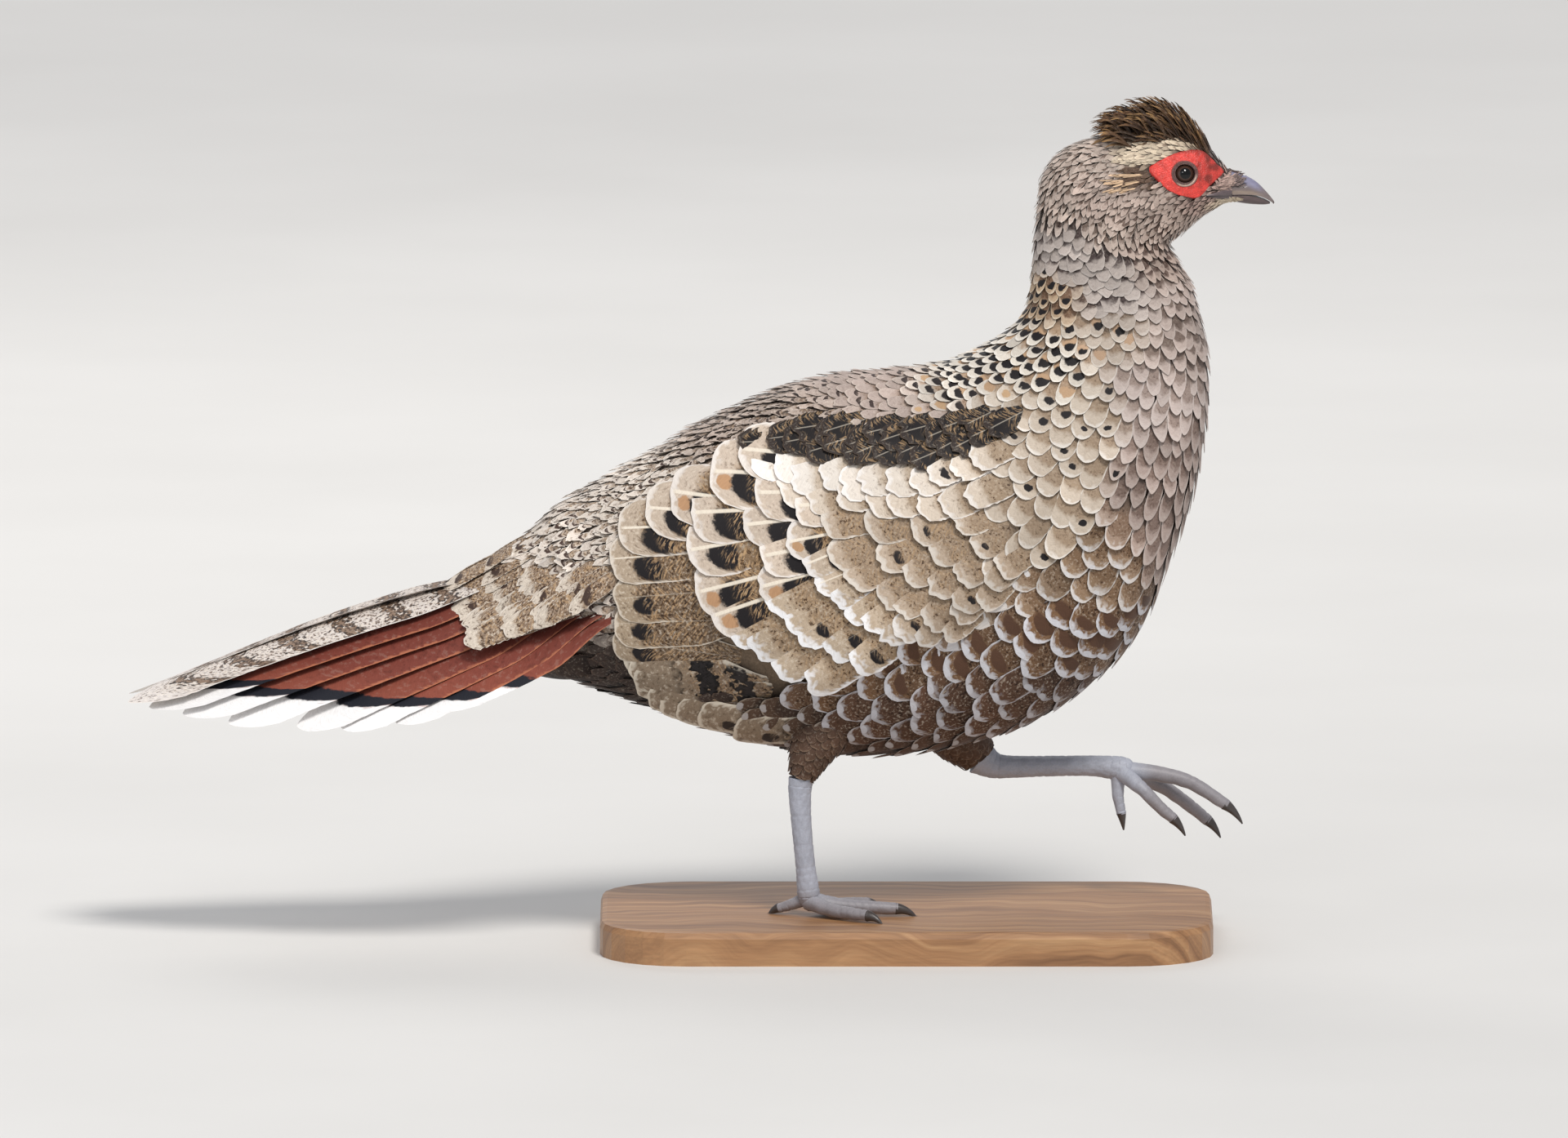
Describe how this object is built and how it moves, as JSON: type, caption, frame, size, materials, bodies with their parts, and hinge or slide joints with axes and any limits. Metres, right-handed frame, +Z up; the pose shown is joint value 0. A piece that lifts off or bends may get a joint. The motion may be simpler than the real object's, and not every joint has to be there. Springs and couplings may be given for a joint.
{
  "type": "humes pheasant model",
  "caption": "Life-size still model of a hen humes pheasant walking on one leg with the other raised, long sloping tail, on a flat wooden display base.",
  "frame": {"origin": "centre of the base's underside", "axes": "+X the way the bird faces, from tail to bill; +Z up; +Y the bird's left side"},
  "size_m": [0.5052, 0.156, 0.3759],
  "materials": {
    "body_feathers": "soft overlapping body feathers, olive brown to chestnut with white tips",
    "neck_feathers": "small rounded feathers, pinkish buff with fine mottling and dark spots on the mantle",
    "head_feathers": "short fine feathers, dark brown crown, pale brow, bare red skin round the eye",
    "wing_feathers": "flight feathers and coverts, buff and tan barred with black, white tips and pale shafts",
    "tail_feathers": "chestnut outer feathers with black bar and white tip, grey-buff mottled central pair",
    "horn": "grey horn of the bill, slightly glossy",
    "leg_scales": "blue-grey scaled skin of shanks and toes",
    "claw_horn": "dark horn of the claws",
    "eye": "dark brown wet eye with a black pupil",
    "base_wood": "oiled hardwood plinth, satin"
  },
  "bodies": {
    "root": {"torso": "body_feathers", "neck": "neck_feathers", "head": "head_feathers", "eye_right": "eye", "eye_left": "eye", "bill_upper": "horn", "bill_lower": "horn", "wing_right": "wing_feathers", "wing_left": "wing_feathers", "tail": "tail_feathers", "thigh_right": "body_feathers", "thigh_left": "body_feathers", "shank_right": "leg_scales", "shank_left": "leg_scales", "foot_right": "leg_scales", "foot_left": "leg_scales", "claw_right_middle": "claw_horn", "claw_right_inner": "claw_horn", "claw_right_outer": "claw_horn", "claw_right_hind": "claw_horn", "claw_left_middle": "claw_horn", "claw_left_inner": "claw_horn", "claw_left_outer": "claw_horn", "claw_left_hind": "claw_horn", "stand_base": "base_wood"}
  },
  "joints": []
}
